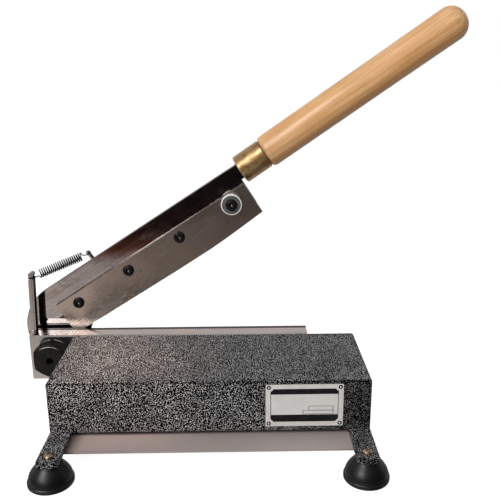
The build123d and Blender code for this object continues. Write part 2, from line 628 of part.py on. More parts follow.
print("pivot", PIVOT_X, Y_MID, PIVOT_Z)
print("roller", ROLLER)
print("spring A", SPRING_A, "B", SPRING_B, "length", round(SPRING_L, 2))
print("handle point", HP, "end", HP + Vector(HC, 0, HS) * HANDLE_END)
print("Y faces: back", Y_BACK, "shear", Y_SHEAR, "moving", Y_MOV, "arm", Y_ARM, Y_ARM_BACK, "bearing", Y_BEAR0, Y_BEAR1)
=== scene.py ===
"""Looks of the small bench cutter: finishes, the coiled spring, the bare data
plate and its rivets, the soft studio and the camera. Lengths are in metres."""

import math
from math import cos, sin, radians, pi

import bpy
import bmesh
from mathutils import Vector, Matrix


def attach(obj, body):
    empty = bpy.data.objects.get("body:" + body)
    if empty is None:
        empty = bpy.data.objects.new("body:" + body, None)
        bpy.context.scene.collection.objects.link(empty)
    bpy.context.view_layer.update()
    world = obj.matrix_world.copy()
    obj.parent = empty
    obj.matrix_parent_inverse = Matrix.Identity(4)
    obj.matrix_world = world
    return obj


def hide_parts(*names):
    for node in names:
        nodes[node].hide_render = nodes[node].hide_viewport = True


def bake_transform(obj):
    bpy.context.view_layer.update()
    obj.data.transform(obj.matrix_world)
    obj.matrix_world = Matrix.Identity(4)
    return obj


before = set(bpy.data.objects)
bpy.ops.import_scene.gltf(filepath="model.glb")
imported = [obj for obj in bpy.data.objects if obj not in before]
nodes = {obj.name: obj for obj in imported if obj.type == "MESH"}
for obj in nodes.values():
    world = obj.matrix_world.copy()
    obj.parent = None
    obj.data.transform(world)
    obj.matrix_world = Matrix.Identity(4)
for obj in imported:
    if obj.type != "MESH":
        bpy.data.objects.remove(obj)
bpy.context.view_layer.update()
MM = 0.001

# ------------------------------------------------------------ places, in mm
TX = -21.0
PIVOT = Vector((TX - 149.2, 73.15, 48.2))
POST_X = TX - 169.0
ARM_DEG, HANDLE_DEG = 33.0, 34.4
CA, SA = cos(radians(ARM_DEG)), sin(radians(ARM_DEG))


def arm_point(u, v, y):
    return Vector((PIVOT.x + u * CA - v * SA, y, PIVOT.z + u * SA + v * CA))


# ============================================================ shader helpers
class Graph:
    """A small builder for node materials. Sockets and numbers mix freely."""

    def __init__(self, tree):
        self.t = tree
        self.n = tree.nodes
        self.n.clear()

    def put(self, kind, inputs=None, **props):
        node = self.n.new(kind)
        for k, v in props.items():
            setattr(node, k, v)
        for k, v in (inputs or {}).items():
            self.feed(node.inputs[k], v)
        return node

    def feed(self, socket, value):
        if isinstance(value, bpy.types.NodeSocket):
            self.t.links.new(value, socket)
        elif isinstance(value, (tuple, list)) and len(value) == 3 and socket.type == "RGBA":
            socket.default_value = (*value, 1.0)
        else:
            socket.default_value = value

    def coords(self):
        return self.put("ShaderNodeTexCoord").outputs["Object"]

    def turned(self, vec, origin, angle_deg):
        """Coordinates whose x runs along a line tilted by angle_deg in the XZ plane."""
        moved = self.put("ShaderNodeVectorMath", {0: vec, 1: tuple(origin)}, operation="SUBTRACT").outputs[0]
        return self.put("ShaderNodeVectorRotate", {"Vector": moved, "Angle": radians(angle_deg)}, rotation_type="Y_AXIS").outputs[0]

    def scaled(self, vec, scale):
        return self.put("ShaderNodeVectorMath", {0: vec, 1: tuple(scale)}, operation="MULTIPLY").outputs[0]

    def noise(self, vec, scale, detail=2.0, rough=0.5, distort=0.0):
        return self.put("ShaderNodeTexNoise", {"Vector": vec, "Scale": scale, "Detail": detail, "Roughness": rough, "Distortion": distort}).outputs["Fac"]

    def voronoi(self, vec, scale, feature="F1"):
        return self.put("ShaderNodeTexVoronoi", {"Vector": vec, "Scale": scale}, feature=feature).outputs["Distance"]

    def math(self, op, a, b=0.0, c=0.0):
        return self.put("ShaderNodeMath", {0: a, 1: b, 2: c}, operation=op).outputs[0]

    def span(self, value, lo, hi, to_lo=0.0, to_hi=1.0, smooth=True):
        kind = "SMOOTHSTEP" if smooth else "LINEAR"
        return self.put("ShaderNodeMapRange", {"Value": value, "From Min": lo, "From Max": hi, "To Min": to_lo, "To Max": to_hi}, interpolation_type=kind).outputs[0]

    def ramp(self, fac, stops, interpolation="LINEAR"):
        node = self.put("ShaderNodeValToRGB", {"Fac": fac})
        node.color_ramp.interpolation = interpolation
        el = node.color_ramp.elements
        while len(el) > 1:
            el.remove(el[-1])
        for i, (pos, col) in enumerate(stops):
            e = el[0] if i == 0 else el.new(pos)
            e.position = pos
            e.color = (*col, 1.0)
        return node.outputs["Color"]

    def mix(self, fac, a, b, blend="MIX"):
        node = self.put("ShaderNodeMix", data_type="RGBA", blend_type=blend)
        self.feed(node.inputs["Factor"], fac)
        self.feed(node.inputs["A"], a)
        self.feed(node.inputs["B"], b)
        return node.outputs["Result"]

    def parts(self, vec):
        node = self.put("ShaderNodeSeparateXYZ", {0: vec})
        return node.outputs[0], node.outputs[1], node.outputs[2]

    def join(self, x, y, z):
        return self.put("ShaderNodeCombineXYZ", {0: x, 1: y, 2: z}).outputs[0]

    def bump(self, height, distance, strength=1.0, normal=None):
        node = self.put("ShaderNodeBump", {"Height": height, "Distance": distance, "Strength": strength})
        if normal is not None:
            self.feed(node.inputs["Normal"], normal)
        return node.outputs[0]

    def surface(self, **inputs):
        names = {"color": "Base Color", "metal": "Metallic", "rough": "Roughness", "spec": "Specular IOR Level", "normal": "Normal",
                 "coat": "Coat Weight", "coat_rough": "Coat Roughness", "aniso": "Anisotropic", "coat_normal": "Coat Normal", "sheen": "Sheen Weight"}
        b = self.put("ShaderNodeBsdfPrincipled", {names[k]: v for k, v in inputs.items()})
        out = self.put("ShaderNodeOutputMaterial")
        self.t.links.new(b.outputs[0], out.inputs[0])
        return b


def material(name):
    m = bpy.data.materials.new(name)
    m.use_nodes = True
    return m, Graph(m.node_tree)


# ================================================================= materials
def make_hammertone():
    m, g = material("hammered_enamel")
    p = g.coords()
    warp = g.put("ShaderNodeTexNoise", {"Vector": p, "Scale": 540.0, "Detail": 1.0}).outputs["Color"]
    q = g.put("ShaderNodeVectorMath", {0: warp, 1: (0.0008, 0.0008, 0.0008), 2: p}, operation="MULTIPLY_ADD").outputs[0]
    worms = g.noise(q, 1700.0, 0.0, 0.5)
    cells = g.voronoi(q, 1000.0)
    v = g.math("MULTIPLY_ADD", worms, 0.50, g.math("MULTIPLY", g.math("SUBTRACT", 1.0, cells), 0.55))
    flake = g.span(v, 0.622, 0.642)
    blot_and_shade = g.span(g.noise(p, 34.0, 2.0), 0.3, 0.7, 0.84, 1.10)
    px, py, pz = g.parts(p)
    nx, ny, nz = g.parts(g.put("ShaderNodeTexCoord").outputs["Normal"])
    # the level top is painted slightly darker and the folded edge much darker, a painted shade
    flat = g.span(nz, 0.85, 0.97, 1.0, 0.90)
    fold_shade = g.math("MULTIPLY", g.span(nz, 0.10, 0.35), g.span(nz, 0.97, 0.80))
    blot_and_shade = g.math("MULTIPLY", blot_and_shade, g.math("MULTIPLY_ADD", fold_shade, -0.62, flat))
    # the right end of the front face is painted darker, a painted shade
    end = g.math("MULTIPLY", g.span(ny, -0.4, -0.8), g.span(px, 0.066, 0.092, 0.0, 0.52))
    blot_and_shade = g.math("MULTIPLY", blot_and_shade, g.math("SUBTRACT", 1.0, end))
    silver = g.mix(g.span(g.noise(p, 160.0, 1.0), 0.3, 0.7), (0.90, 0.925, 0.945), (0.70, 0.715, 0.725))
    col = g.mix(flake, (0.0018, 0.0018, 0.0020), silver)
    col = g.mix(1.0, col, g.join(blot_and_shade, blot_and_shade, blot_and_shade), "MULTIPLY")
    n = g.bump(g.math("SUBTRACT", 1.0, g.span(v, 0.45, 0.65)), 0.00010, 0.45)
    g.surface(color=col, metal=g.math("MULTIPLY", flake, 0.45), rough=g.span(flake, 0, 1, 0.45, 0.36), spec=0.10, normal=n)
    return m


def make_rubber():
    m, g = material("moulded_rubber")
    p = g.coords()
    grain = g.noise(p, 2600.0, 2.0)
    dust = g.span(g.noise(p, 90.0, 4.0, 0.6), 0.55, 0.8)
    col = g.mix(dust, (0.0050, 0.0051, 0.0050), (0.013, 0.0130, 0.0122))
    rough = g.math("ADD", g.span(g.noise(p, 160.0, 2.0), 0.3, 0.7, 0.36, 0.44), g.math("MULTIPLY", dust, 0.08))
    g.surface(color=col, rough=rough, spec=0.42, normal=g.bump(grain, 0.00002, 0.5))
    return m


def make_steel(name, base, rough, tilt=None, grind=0.05, blotch=0.06, wave=0.0, wear_and_shade=None, across=False, metal=1.0):
    """Worked steel: fine grinding lines, faint handling blotches, slight unevenness."""
    m, g = material(name)
    p = g.coords()
    q = g.turned(p, PIVOT * MM, tilt) if tilt is not None else p
    s = (2600.0, 900.0, 60.0) if across else (60.0, 900.0, 2600.0)
    lines = g.noise(g.scaled(q, s), 1.0, 2.0, 0.6)
    cloud = g.noise(p, 42.0, 3.0, 0.55)
    smear = g.noise(g.scaled(q, (26.0, 90.0, 90.0)), 1.0, 3.0, 0.55)
    tone = g.span(cloud, 0.3, 0.7, 1.0 - blotch, 1.0 + blotch)
    warm = g.mix(g.span(smear, 0.35, 0.65), tuple(c * f for c, f in zip(base, (1.02, 0.99, 0.965))), tuple(c * f for c, f in zip(base, (0.985, 1.0, 1.02))))
    col = g.mix(1.0, warm, g.join(tone, tone, tone), "MULTIPLY")
    r = g.math("ADD", g.span(smear, 0.3, 0.7, rough - blotch * 0.35, rough + blotch * 0.5), g.math("MULTIPLY", g.math("SUBTRACT", lines, 0.5), grind))
    # the hook paints real wear and also painted shade and reflection
    if wear_and_shade is not None:
        col, r = wear_and_shade(g, p, q, col, r)
    n = g.bump(lines, 0.000012, grind * 4.0)
    if wave:
        n = g.bump(g.noise(p, 24.0, 1.0), 0.00045, wave, n)
    g.surface(color=col, metal=metal, rough=r, normal=n)
    return m


def make_black(name="black_oxide", base=(0.022, 0.0215, 0.021), rough=0.34, rim_glints=(), spec=0.5, glint_dots=()):
    """Blackened steel. Each rim is (radius, y, width) in mm about the pivot; its upper part is painted bright, a
    painted highlight.
    Each dot is the (u, v) of a screw on the arm; a white dot is painted at its socket bottom, a painted highlight."""
    m, g = material(name)
    p = g.coords()
    turn = g.noise(g.scaled(p, (900.0, 300.0, 900.0)), 1.0, 2.0)
    cloud = g.noise(p, 120.0, 3.0)
    col = g.mix(g.span(cloud, 0.35, 0.75), base, tuple(c * 1.7 for c in base))
    if rim_glints:
        x, y, z = g.parts(p)
        dx, dz = g.math("SUBTRACT", x, PIVOT.x * MM), g.math("SUBTRACT", z, PIVOT.z * MM)
        away = g.math("SQRT", g.math("MULTIPLY_ADD", dx, dx, g.math("MULTIPLY", dz, dz)))
        for radius, y0, width in rim_glints:
            # painted highlight: a pale arc painted only on the upper part of each rim
            glint = g.span(g.math("ABSOLUTE", g.math("SUBTRACT", away, radius * MM)), width * MM, width * 0.45 * MM)
            glint = g.math("MULTIPLY", glint, g.span(g.math("ABSOLUTE", g.math("SUBTRACT", y, y0 * MM)), width * MM, width * 0.45 * MM))
            glint = g.math("MULTIPLY", glint, g.span(cloud, 0.25, 0.55, 0.3, 0.8))
            glint = g.math("MULTIPLY", glint, g.span(dz, radius * 0.72 * MM, radius * 0.96 * MM))
            col = g.mix(glint, col, (0.62, 0.57, 0.55))
    if glint_dots:
        u, depth, v = g.parts(g.turned(p, PIVOT * MM, ARM_DEG))
        for du, dv in glint_dots:
            a, b = g.math("SUBTRACT", u, du * MM), g.math("SUBTRACT", v, dv * MM)
            away = g.math("SQRT", g.math("MULTIPLY_ADD", a, a, g.math("MULTIPLY", b, b)))
            # painted highlight: a near-white dot at each socket bottom
            col = g.mix(g.span(away, 0.9 * MM, 0.6 * MM), col, (0.95, 0.93, 0.90))
    rough = g.span(cloud, 0.3, 0.7, rough - 0.05, rough + 0.06)
    if rim_glints:
        # the upper flats keep their dull scale
        nx, ny, nz = g.parts(g.put("ShaderNodeTexCoord").outputs["Normal"])
        rough = g.math("MAXIMUM", rough, g.span(nz, 0.2, 0.6, 0.0, 0.85))
    g.surface(color=col, metal=0.45, rough=rough, spec=spec, normal=g.bump(turn, 0.000015, 0.5))
    return m


def make_plated(name, base, rough=0.22, tarnish=(0.35, 0.24, 0.14), amount=0.3, metal=1.0):
    m, g = material(name)
    p = g.coords()
    cloud = g.noise(p, 420.0, 3.0, 0.6)
    col = g.mix(g.math("MULTIPLY", g.span(cloud, 0.45, 0.75), amount), base, tarnish)
    g.surface(color=col, metal=metal, rough=g.span(cloud, 0.3, 0.7, rough - 0.04, rough + 0.1), normal=g.bump(g.noise(p, 2400.0, 1.0), 0.00001, 0.4))
    return m


def make_ring():
    """Outer ring of the bearing: a painted highlight along the outer rim, a matt lapped side, and a painted shade line
    at the seat of the shield.
    """
    m, g = material("bearing_ring")
    p = g.coords()
    x, y, z = g.parts(p)
    centre = arm_point(215.8, 25.0, 0.0)
    dx, dz = g.math("SUBTRACT", x, centre.x * MM), g.math("SUBTRACT", z, centre.z * MM)
    away = g.math("SQRT", g.math("MULTIPLY_ADD", dx, dx, g.math("MULTIPLY", dz, dz)))
    cloud = g.noise(p, 420.0, 3.0, 0.6)
    col = g.mix(g.span(cloud, 0.4, 0.75), (0.24, 0.24, 0.235), (0.15, 0.147, 0.145))
    # painted highlight: the outer rim is painted near white
    col = g.mix(g.span(away, 8.35 * MM, 8.75 * MM), col, (0.95, 0.945, 0.93))
    # painted shade: a dark line at the seat of the shield
    col = g.mix(g.span(g.math("ABSOLUTE", g.math("SUBTRACT", away, 8.0 * MM)), 0.40 * MM, 0.2 * MM), col, (0.03, 0.03, 0.03))
    g.surface(color=col, metal=0.25, rough=g.span(cloud, 0.3, 0.7, 0.20, 0.32), normal=g.bump(g.noise(p, 2400.0, 1.0), 0.00001, 0.4))
    return m


def make_brass():
    m, g = material("turned_brass")
    origin = arm_point(239.0, 45.2, 73.15) * MM
    p = g.coords()
    q = g.turned(p, origin, HANDLE_DEG)
    x, y, z = g.parts(q)
    rings = g.noise(g.join(g.math("MULTIPLY", x, 5200.0), 0.0, 0.0), 1.0, 2.0, 0.6)
    cloud = g.noise(g.scaled(q, (70.0, 110.0, 110.0)), 1.0, 4.0, 0.6)
    col = g.mix(g.span(cloud, 0.36, 0.64), (0.62, 0.42, 0.190), (0.40, 0.235, 0.095))
    stain = g.noise(g.scaled(q, (150.0, 210.0, 210.0)), 1.0, 3.0, 0.7)
    col = g.mix(g.math("MULTIPLY", g.span(stain, 0.52, 0.66), 0.6), col, (0.26, 0.12, 0.040))
    # painted highlight: a pale line painted round the left end of the ferrule
    edge = g.span(x, 0.0012, 0.0, 0.0, 1.0)
    col = g.mix(g.math("MULTIPLY", edge, 0.6), col, (0.90, 0.76, 0.52))
    n = g.bump(rings, 0.000020, 0.5)
    n = g.bump(g.noise(g.scaled(q, (90.0, 260.0, 260.0)), 1.0, 2.0), 0.0001, 0.10, n)
    g.surface(color=col, metal=0.9, rough=g.span(cloud, 0.3, 0.7, 0.34, 0.46), normal=n, coat=0.6, coat_rough=0.22, coat_normal=n)
    return m


def make_wood():
    m, g = material("varnished_beech")
    origin = arm_point(239.0, 45.2, 73.15) * MM
    q = g.turned(g.coords(), origin, HANDLE_DEG)
    x, y, z = g.parts(q)
    # slow wander of the growth rings along the stick
    wander = g.math("SUBTRACT", g.noise(g.scaled(q, (9.0, 28.0, 28.0)), 1.0, 2.0, 0.5), 0.5)
    across = g.math("ADD", g.math("MULTIPLY", z, 0.86), g.math("MULTIPLY", y, 0.50))
    across = g.math("ADD", across, g.math("MULTIPLY", x, 0.018))
    depth = g.math("ADD", across, g.math("MULTIPLY", wander, 0.0052))
    ring = g.math("FRACT", g.math("MULTIPLY", depth, 620.0))
    late = g.math("MULTIPLY", g.span(ring, 0.55, 0.90), g.span(ring, 1.0, 0.94))
    late = g.math("MULTIPLY", late, g.span(g.noise(g.scaled(q, (16.0, 330.0, 330.0)), 1.0, 2.0), 0.42, 0.62))
    late = g.math("MULTIPLY", late, g.span(z, 0.009, -0.003, 0.35, 1.0))
    streak = g.noise(g.scaled(q, (14.0, 420.0, 420.0)), 1.0, 3.0, 0.6)
    fibre = g.noise(g.scaled(q, (60.0, 2200.0, 2200.0)), 1.0, 2.0, 0.6)
    patch = g.noise(g.scaled(q, (16.0, 60.0, 60.0)), 1.0, 2.0)
    col = g.mix(g.span(patch, 0.3, 0.7), (0.735, 0.45, 0.225), (0.665, 0.355, 0.142))
    col = g.mix(g.math("MULTIPLY", g.span(streak, 0.42, 0.72), 0.75), col, (0.50, 0.25, 0.090))
    col = g.mix(g.math("MULTIPLY", g.span(streak, 0.55, 0.25), 0.40), col, (0.90, 0.64, 0.38))
    col = g.mix(g.math("MULTIPLY", late, 0.80), col, (0.30, 0.115, 0.035))
    # the underside is tinted a deeper orange, a painted warm bounce light
    col = g.mix(g.span(z, 0.004, -0.012, 0.0, 0.55), col, (0.76, 0.37, 0.125))
    # short dark pores
    pore = g.noise(g.scaled(q, (190.0, 2600.0, 2600.0)), 1.0, 0.0)
    col = g.mix(g.math("MULTIPLY", g.span(pore, 0.66, 0.76), 0.30), col, (0.30, 0.14, 0.05))
    col = g.mix(g.math("MULTIPLY", g.span(fibre, 0.35, 0.7), 0.14), col, (0.50, 0.28, 0.12))
    # darker, dirtier shoulder beside the ferrule
    seam = g.span(x, 0.0268, 0.0292, 1.0, 0.0)
    col = g.mix(g.math("MULTIPLY", seam, 0.85), col, (0.10, 0.04, 0.012))
    n = g.bump(g.math("ADD", fibre, g.math("MULTIPLY", late, 0.5)), 0.00003, 0.35)
    n = g.bump(g.noise(g.scaled(q, (20.0, 55.0, 55.0)), 1.0, 1.0), 0.0005, 0.22, n)
    g.surface(color=col, rough=g.span(streak, 0.3, 0.7, 0.42, 0.52), spec=0.45, normal=n, coat=0.8, coat_rough=g.span(patch, 0.3, 0.7, 0.22, 0.34), coat_normal=n)
    return m


def arm_smudge_and_reflect(g, p, q, col, r):
    """Pale smudges and a brown film, mostly on the front face: partly real smudges, partly a painted reflection."""
    x, y, z = g.parts(q)
    nx, ny, nz = g.parts(g.put("ShaderNodeTexCoord").outputs["Normal"])
    # the front face takes most of the pale and brown marks, partly a painted reflection
    front_reflect_weight = g.span(ny, 0.3, -0.3, 0.35, 1.0)
    rub = g.noise(g.scaled(q, (40.0, 60.0, 110.0)), 1.0, 5.0, 0.62, 0.5)
    pale_smudge_reflect = g.math("MULTIPLY", g.span(rub, 0.52, 0.68), front_reflect_weight)
    col = g.mix(g.math("MULTIPLY", pale_smudge_reflect, 0.66), col, (0.90, 0.885, 0.875))
    film = g.math("MULTIPLY", g.span(g.noise(g.scaled(q, (52.0, 60.0, 120.0)), 1.0, 5.0, 0.7, 0.3), 0.47, 0.62), front_reflect_weight)
    col = g.mix(g.math("MULTIPLY", film, 0.55), col, (0.36, 0.275, 0.245))
    lines = g.noise(g.scaled(q, (30.0, 900.0, 1500.0)), 1.0, 2.0, 0.6)
    tone = g.span(lines, 0.3, 0.7, 0.88, 1.12)
    col = g.mix(1.0, col, g.join(tone, tone, tone), "MULTIPLY")
    return col, g.math("MULTIPLY_ADD", pale_smudge_reflect, 0.04, r)


def blade_wear_and_shade(g, p, q, col, r):
    """Small dark nicks and stains, as the ground blade shows."""
    x, y, z = g.parts(q)
    spots = g.noise(p, 210.0, 1.0)
    mark = g.math("MULTIPLY", g.span(spots, 0.735, 0.775), 0.6)
    col = g.mix(mark, col, (0.06, 0.045, 0.04))
    film = g.span(g.noise(g.scaled(q, (18.0, 60.0, 44.0)), 1.0, 3.0, 0.6), 0.42, 0.7)
    col = g.mix(g.math("MULTIPLY", film, 0.30), col, (0.36, 0.33, 0.25))
    # darker towards the tip, a painted shade
    tone = g.span(x, 0.05, 0.135, 1.12, 0.66)
    col = g.mix(1.0, col, g.join(tone, tone, tone), "MULTIPLY")
    lines = g.noise(g.scaled(q, (24.0, 700.0, 1300.0)), 1.0, 2.0, 0.6)
    fine = g.span(lines, 0.3, 0.7, 0.93, 1.07)
    col = g.mix(1.0, col, g.join(fine, fine, fine), "MULTIPLY")
    return col, r


def sheet_leg_shadow(g, p, q, col, r):
    """A painted shadow of the left leg on the sheet beside it, and painted shade that slowly darkens it towards the
    left.
    """
    x, y, z = g.parts(p)
    # painted shadow of the left leg, then painted shade darker towards the left
    left = g.span(g.math("MULTIPLY_ADD", y, -0.10, x), -0.128, -0.116, 0.30, 1.0)
    right = g.span(x, -0.12, -0.02, 0.82, 1.0)
    tone = g.math("MULTIPLY", left, right)
    return g.mix(1.0, col, g.join(tone, tone, tone), "MULTIPLY"), r


def strip_shade_and_score(g, p, q, col, r):
    """Bright filed front; the sheared sides and back are painted dark, a painted shade."""
    nx, ny, nz = g.parts(g.put("ShaderNodeTexCoord").outputs["Normal"])
    shaded_sides = g.math("MAXIMUM", g.span(g.math("ABSOLUTE", nx), 0.55, 0.85), g.span(ny, 0.4, 0.8))
    # painted shade on the sides and back
    col = g.mix(shaded_sides, col, (0.020, 0.018, 0.017))
    # two scored lines down the face
    x, y, z = g.parts(p)
    across = g.math("SUBTRACT", x, g.math("MULTIPLY_ADD", z, 0.0383, (POST_X - 2.5) * MM))
    score = g.math("MULTIPLY", g.span(g.math("ABSOLUTE", g.math("SUBTRACT", across, 0.0008)), 0.0006, 0.0001), 0.55)
    col = g.mix(g.math("MULTIPLY", score, g.math("SUBTRACT", 1.0, shaded_sides)), col, (0.20, 0.175, 0.165))
    return col, g.math("MAXIMUM", r, g.math("MULTIPLY", shaded_sides, 0.5))


def make_nameplate():
    m, g = material("satin_plate")
    p = g.coords()
    lines = g.noise(g.scaled(p, (60.0, 600.0, 3200.0)), 1.0, 2.0)
    cloud = g.noise(p, 90.0, 3.0)
    col = g.mix(g.span(cloud, 0.3, 0.7), (0.86, 0.86, 0.855), (0.78, 0.78, 0.775))
    g.surface(color=col, metal=0.35, rough=g.span(lines, 0.3, 0.7, 0.40, 0.52), spec=0.5, normal=g.bump(lines, 0.00001, 0.5))
    return m


def make_enamel():
    m, g = material("black_enamel")
    p = g.coords()
    cloud = g.noise(p, 160.0, 3.0)
    col = g.mix(g.span(cloud, 0.4, 0.75), (0.006, 0.006, 0.007), (0.016, 0.016, 0.016))
    g.surface(color=col, rough=g.span(cloud, 0.3, 0.7, 0.36, 0.46), spec=0.15, normal=g.bump(g.noise(p, 1800.0, 1.0), 0.00001, 0.4))
    return m


hammertone = make_hammertone()
rubber = make_rubber()
arm_steel = make_steel("polished_steel_arm", (0.60, 0.555, 0.535), 0.045, tilt=ARM_DEG, grind=0.02, blotch=0.07, wave=0.30, wear_and_shade=arm_smudge_and_reflect)
blade_steel = make_steel("ground_blade", (0.66, 0.555, 0.49), 0.26, tilt=ARM_DEG, grind=0.06, blotch=0.05, wear_and_shade=blade_wear_and_shade)
fixed_steel = make_steel("fixed_blade_steel", (0.060, 0.056, 0.054), 0.26, grind=0.10)
ground_steel = make_steel("ground_bar", (0.60, 0.555, 0.535), 0.22, grind=0.08, blotch=0.05)
post_steel = make_steel("filed_strip", (0.62, 0.575, 0.55), 0.26, grind=0.14, blotch=0.10, wear_and_shade=strip_shade_and_score)
sheet_steel = make_steel("rolled_sheet", (0.46, 0.40, 0.385), 0.50, grind=0.05, blotch=0.03, metal=0.35, wear_and_shade=sheet_leg_shadow)
bright_steel = make_plated("bright_plated", (0.66, 0.65, 0.64), 0.2, (0.30, 0.26, 0.22), 0.25)
yellow_plated = make_plated("yellow_plated", (0.52, 0.40, 0.27), 0.30, (0.24, 0.14, 0.10), 0.6)
bearing_steel = make_plated("bearing_steel", (0.88, 0.87, 0.86), 0.26, (0.6, 0.58, 0.55), 0.12, metal=0.25)
ring_steel = make_ring()
shield_steel = make_plated("bearing_shield", (0.17, 0.175, 0.17), 0.34, (0.075, 0.075, 0.075), 0.6, metal=0.5)
RIM_GLINTS = ((14.2, 30.0, 0.40), (16.25, 42.35, 0.22))
SOCKET_GLINTS = ((41.6, 25.0), (99.7, 25.0), (157.8, 25.0), (215.8, 25.0))
wire_steel = make_black("spring_wire", (0.006, 0.0057, 0.0055), 0.42, spec=0.06)
black = make_black("black_oxide", (0.013, 0.0125, 0.012), 0.30, rim_glints=RIM_GLINTS, spec=0.20)
screw_black = make_black("black_screw", (0.010, 0.008, 0.007), 0.30, spec=0.30, glint_dots=SOCKET_GLINTS)
brass = make_brass()
bronze = make_plated("sintered_bronze", (0.55, 0.38, 0.20), 0.4, (0.30, 0.20, 0.10), 0.4)
wood = make_wood()
plate_metal = make_nameplate()
plate_black = make_enamel()

FINISH = {
    "table_shell": hammertone, "leg_bar_left": hammertone, "leg_bar_right": hammertone,
    "foot_front_left": rubber, "foot_front_right": rubber, "foot_rear_left": rubber, "foot_rear_right": rubber,
    "foot_screws": yellow_plated, "foot_washers": bright_steel, "foot_nuts": bright_steel,
    "leg_screws": bright_steel, "leg_nuts": bright_steel, "lower_plate": sheet_steel,
    "back_plate": ground_steel, "fixed_blade": fixed_steel, "fixed_blade_screws": screw_black, "fixed_blade_nuts": bright_steel,
    "nameplate": plate_metal, "nameplate_rivets": bright_steel,
    "spring_post": post_steel, "spring_post_screw": bright_steel,
    "pivot_bolt": black, "pivot_collar": black, "pivot_spacer": bright_steel, "pivot_rear_washer": bright_steel, "pivot_nut": black,
    "spring": wire_steel, "arm": arm_steel, "pivot_bush": bronze, "moving_blade": blade_steel,
    "blade_screws": screw_black, "bearing_screw": screw_black, "bearing_spacer": bright_steel,
    "bearing_inner_ring": bearing_steel, "bearing_balls": bearing_steel, "bearing_outer_ring": ring_steel, "bearing_shields": shield_steel,
    "ferrule": brass, "handle": wood, "spring_stud": bright_steel,
}
for name, obj in nodes.items():
    for slot in obj.material_slots:
        slot.material = FINISH[name]


# ============================================================== mesh helpers
def new_object(name, bm, mats, smooth_deg=35.0):
    bmesh.ops.recalc_face_normals(bm, faces=bm.faces)
    me = bpy.data.meshes.new(name)
    bm.to_mesh(me)
    bm.free()
    for m in mats:
        me.materials.append(m)
    me.polygons.foreach_set("use_smooth", [True] * len(me.polygons))
    me.set_sharp_from_angle(angle=radians(smooth_deg))
    obj = bpy.data.objects.new(name, me)
    bpy.context.scene.collection.objects.link(obj)
    return obj


def sweep(points, radius, sides=12):
    """A closed tube along points (metres), with rounded ends."""
    bm = bmesh.new()
    pts = [Vector(p) for p in points]
    tangents = []
    for i in range(len(pts)):
        a, b = pts[max(i - 1, 0)], pts[min(i + 1, len(pts) - 1)]
        tangents.append((b - a).normalized())
    side = tangents[0].orthogonal().normalized()
    rings = []

    def ring(centre, t, side, r):
        up = t.cross(side).normalized()
        return [bm.verts.new(centre + (side * cos(2 * pi * k / sides) + up * sin(2 * pi * k / sides)) * r) for k in range(sides)]

    for i, (p, t) in enumerate(zip(pts, tangents)):
        side = (side - t * side.dot(t)).normalized()
        if i == 0:
            for a in (0.97, 0.75, 0.4):
                rings.append(ring(p - t * radius * a, t, side, radius * math.sqrt(1 - a * a)))
        rings.append(ring(p, t, side, radius))
        if i == len(pts) - 1:
            for a in (0.4, 0.75, 0.97):
                rings.append(ring(p + t * radius * a, t, side, radius * math.sqrt(1 - a * a)))
    for a, b in zip(rings, rings[1:]):
        for k in range(sides):
            bm.faces.new((a[k], a[(k + 1) % sides], b[(k + 1) % sides], b[k]))
    bm.faces.new(list(reversed(rings[0])))
    bm.faces.new(rings[-1])
    return bm


def smooth_path(ctrl, step):
    """Catmull-Rom through the points, divided about evenly."""
    pts = [Vector(c) for c in ctrl]
    ext = [pts[0] * 2 - pts[1]] + pts + [pts[-1] * 2 - pts[-2]]
    out = []
    for i in range(1, len(ext) - 2):
        p0, p1, p2, p3 = ext[i - 1], ext[i], ext[i + 1], ext[i + 2]
        n = max(2, int((p2 - p1).length / step))
        for k in range(n):
            t = k / n
            out.append(0.5 * ((2 * p1) + (p2 - p0) * t + (2 * p0 - 5 * p1 + 4 * p2 - p3) * t * t + (3 * p1 - p0 - 3 * p2 + p3) * t ** 3))
    out.append(pts[-1])
    return out


# ==================================================================== spring
A = Vector((POST_X + 2.3 * 0.92, 56.55, 120.9))
B = arm_point(76.7, 52.0 + 5.7, 73.15)
axis = (B - A).normalized()
length = (B - A).length
e2 = (Vector((0, 0, 1)) - axis * axis.z).normalized()
e3 = axis.cross(e2)
COIL_A, COIL_B, COIL_R, WIRE = 7.3, length - 7.3, 3.85, 0.51
TURNS = 20.5


def coil_point(t, turn, r=COIL_R):
    a = 2 * pi * turn
    return A + axis * t + (e2 * cos(a) + e3 * sin(a)) * r


